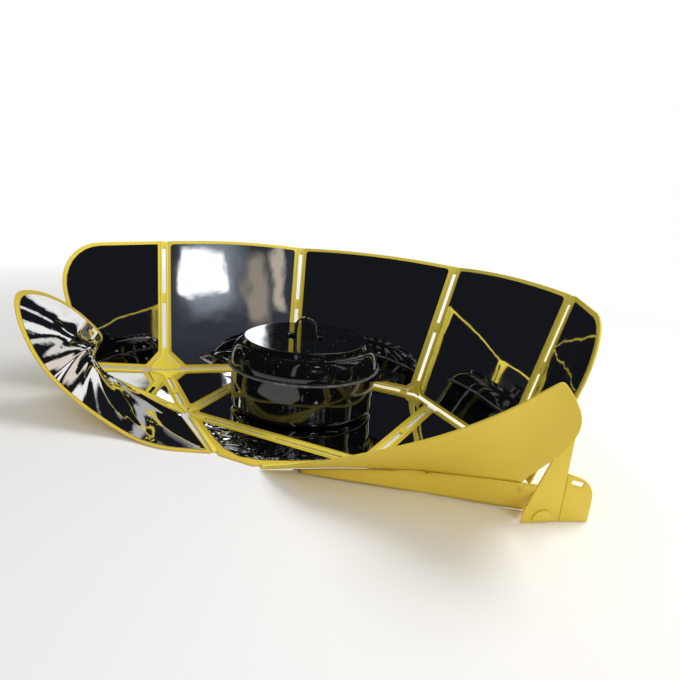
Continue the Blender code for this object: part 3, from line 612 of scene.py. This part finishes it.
def lid_shell():
    """The lid: a flat top with a crisp edge, a step down, a flared side and a beaded brim."""
    brim = POT_RADIUS - BRIM_IN
    side = LID_RISE - LID_STEP - LID_SIDE_DOWN
    dish = LID_RISE - LID_DISH
    outside = [(0.0, dish), (LID_DISH_RADIUS, dish), (LID_TOP - LID_FLAT_IN, LID_RISE)]
    outside += arc(LID_TOP - LID_EDGE_IN, LID_RISE - LID_EDGE, LID_EDGE, 90.0, 0.0, 5)
    outside += [(LID_TOP - within, LID_RISE - down) for within, down in LID_STEP_POINTS]
    outside += flare(LID_TOP - LID_SIDE_IN, brim, side, 0.0, 14)
    outside += arc(brim, BRIM_LIFT, BRIM_BEAD, 70.0, -90.0, 6)
    inside = [(POT_WALL - SEAT_IN, SEAT_LIFT)]
    near, far = LID_TOP - LINING_TOP_IN, brim - LINING_BRIM_IN
    inside += reversed(flare(near, far, side - LINING_HIGH, LINING_LOW, 12))
    inside.append((LID_TOP - LINING_CORNER[0], LID_RISE - LINING_CORNER[1]))
    inside += [(r, LID_RISE - LINING_TOP) for r in (LINING_TOP_RADIUS, 0.0)]
    bm = spun(outside + inside, LID_FOOT)
    finished("lid_shell", bm, "lid", "black_enamel", ("pot_lid",), SPUN_SMOOTH)


def rivets():
    """The two domed rivets that hold the lid's handle."""
    turn = Matrix.Rotation(POT_TURN, 3, "Z")
    up = Vector((0.0, 0.0, STRAP_FOOT + RIVET_LIFT))
    for word, side in (("left", -1), ("right", 1)):
        bm = bmesh.new()
        bmesh.ops.create_uvsphere(bm, u_segments=24, v_segments=12, radius=RIVET_RADIUS)
        bmesh.ops.scale(bm, vec=(1.0, 1.0, RIVET_FLATTENED), verts=bm.verts)
        place = POT_AXIS + turn @ Vector((side * STRAP_END, 0.0, 0.0))
        bmesh.ops.translate(bm, vec=place + up, verts=bm.verts)
        finished(f"lid_rivet_{word}", bm, "lid", "black_enamel")


def dress_nodes():
    """Gives every CAD node that stays its finish, and replaces the others by finer pieces."""
    for node, piece in frame["nodes"].items():
        slot = slot_of(node)
        if slot == "yellow_shell" and "wall" in node:
            # Wall pieces take the brighter copy of the yellow plastic, which is painted light
            soft_edged(node, SHELL_ROUND, "painted_lit_wall_shell")
        elif slot == "yellow_shell" and not node.startswith(("petal", "skirt")):
            soft_edged(node, SHELL_ROUND)
        elif node == "skirt_right":
            fitted_skirt()
        elif node.startswith(("petal", "skirt")) and slot == "yellow_shell":
            curved_sheet(node, "yellow_shell")
        elif node.startswith("petal") and node.endswith("_mirror"):
            curved_sheet(node, "fan_film")
        elif node == "front_flap_mirror":
            curved_sheet(node, "crumpled_film")
        elif node.startswith("foot"):
            soft_edged(node, HINGE_ROUND, "yellow_shell")
        elif slot == "bright_hinge":
            soft_edged(node, HINGE_ROUND)
        elif node in ("lid_handle", "pot_handle_left", "pot_handle_right"):
            soft_edged(node, SHELL_ROUND, sharp=HANDLE_SHARP_ANGLE)
        else:
            piece.data.materials.clear()
            piece.data.materials.append(FINISHES[slot])


def studio_object(name, bm, finish):
    mesh = bpy.data.meshes.new(name)
    bm.to_mesh(mesh)
    bm.free()
    mesh.materials.append(finish.material)
    made = bpy.data.objects.new(name, mesh)
    bpy.context.scene.collection.objects.link(made)
    return made


def studio_floor():
    """A pale floor that fades into the white background, and keeps the oven's shadow."""
    made = Finish("Studio floor")
    made.set(Base_Color=FLOOR_PALE, Roughness=0.9)
    far = made.node("ShaderNodeVectorMath", {"operation": "LENGTH"}, {0: made.place}, "Value")
    fade = ((far - FLOOR_FADE_START) / FLOOR_FADE_LENGTH).limited()
    clear = made.node("ShaderNodeBsdfTransparent", {}, {})
    pale = Socket(made, made.shader.outputs[0])
    made.surface(made.node("ShaderNodeMixShader", {}, {0: fade, 1: pale, 2: clear}))
    bm = bmesh.new()
    bmesh.ops.create_circle(bm, cap_ends=True, segments=96, radius=FLOOR_RADIUS)
    floor = studio_object("studio_floor", bm, made)
    floor.location.z = -FLOOR_DROP


def studio_dome():
    """The dark studio that only reflections see: a dome with soft lamps and pale screens on it."""
    made = Finish("Studio dome")
    x, y, z = [made.node("ShaderNodeSeparateXYZ", {}, {0: made.place}, axis) for axis in "XYZ"]
    heading = made.node("ShaderNodeMath", {"operation": "ARCTAN2"}, {0: y, 1: x}) * DEGREES_PER_RADIAN
    height = made.node("ShaderNodeMath", {"operation": "ARCSINE"}, {0: z / DOME_RADIUS})
    height = height * DEGREES_PER_RADIAN
    colour = DOME_DARK
    for low, high, bottom, top, soft, glow in DOME_PATCHES:
        share = heading.between(low, high, soft) * height.between(bottom, top, soft)
        colour = made.mix(share, colour, glow)
    low, high, bottom, top, soft = DOTTED_LAMP
    dots = ((made.cells(DOT_SCALE) - DOT_EDGE) * DOT_SHARPNESS).limited()
    share = heading.between(low, high, soft) * height.between(bottom, top, soft) * dots
    colour = made.mix(share, colour, DOTTED_GLOW)
    made.surface(made.node("ShaderNodeEmission", {}, {"Color": colour, "Strength": 1.0}))
    bm = bmesh.new()
    bmesh.ops.create_uvsphere(bm, u_segments=48, v_segments=24, radius=DOME_RADIUS)
    dome = studio_object("studio_dome", bm, made)
    dome.visible_camera = False
    dome.visible_diffuse = False
    dome.visible_shadow = False
    dome.visible_transmission = False


def lamp(name, place, target, size, power, colour):
    """A square area lamp that reflections don't show."""
    data = bpy.data.lights.new(name, "AREA")
    data.shape = "RECTANGLE"
    data.size = size
    data.size_y = size
    data.energy = power
    data.color = colour
    made = bpy.data.objects.new(name, data)
    made.location = place
    made.rotation_euler = (Vector(target) - Vector(place)).to_track_quat("-Z", "Y").to_euler()
    made.visible_glossy = False
    bpy.context.scene.collection.objects.link(made)


def studio_light():
    """A white world, brighter where a ray sees it than as a light, and two soft lamps."""
    world = bpy.data.worlds.new("Studio")
    world.use_nodes = True
    bpy.context.scene.world = world
    nodes, links = world.node_tree.nodes, world.node_tree.links
    back = nodes["Background"]
    path = nodes.new("ShaderNodeLightPath")
    seen, shown, strength = (nodes.new("ShaderNodeMath") for _ in range(3))
    seen.operation = shown.operation = "MAXIMUM"
    strength.operation = "MULTIPLY_ADD"
    links.new(path.outputs["Is Camera Ray"], seen.inputs[0])
    links.new(path.outputs["Is Glossy Ray"], seen.inputs[1])
    links.new(seen.outputs[0], shown.inputs[0])
    links.new(path.outputs["Is Transmission Ray"], shown.inputs[1])
    links.new(shown.outputs[0], strength.inputs[0])
    strength.inputs[1].default_value = WORLD_SEEN
    strength.inputs[2].default_value = WORLD_LIGHT
    links.new(strength.outputs[0], back.inputs["Strength"])
    back.inputs["Color"].default_value = (1.0, 1.0, 1.0, 1.0)
    lamp("Key", place=(1.1, 0.9, 2.0), target=(0.05, -0.1, 0.05), size=1.3, power=36.0,
         colour=(1.0, 0.99, 0.97))
    lamp("Fill", place=(1.7, -1.2, 1.1), target=(0.1, -0.1, 0.1), size=0.9, power=9.0,
         colour=(1.0, 0.995, 0.98))


def camera():
    """The photograph's viewpoint, with its slight roll."""
    cy, sy = math.cos(CAMERA_YAW), math.sin(CAMERA_YAW)
    cp, sp = math.cos(CAMERA_PITCH), math.sin(CAMERA_PITCH)
    cr, sr = math.cos(CAMERA_ROLL), math.sin(CAMERA_ROLL)
    ahead = Vector((-sy * cp, cy * cp, -sp))
    right = Vector((cy, sy, 0.0))
    up = right.cross(ahead)
    columns = (right * cr + up * sr, up * cr - right * sr, -ahead)
    data = bpy.data.cameras.new("Camera")
    data.lens = CAMERA_LENS
    data.sensor_width = CAMERA_SENSOR
    data.clip_start = CAMERA_NEAR
    made = bpy.data.objects.new("Camera", data)
    turn = Matrix(columns).transposed().to_4x4()
    made.matrix_world = Matrix.Translation(CAMERA_PLACE) @ turn
    bpy.context.scene.collection.objects.link(made)
    bpy.context.scene.camera = made


bpy.context.scene.view_settings.view_transform = "Standard"
camera()
dress_nodes()
pot_shell()
lip_ring()
lid_shell()
rivets()
studio_floor()
studio_dome()
studio_light()
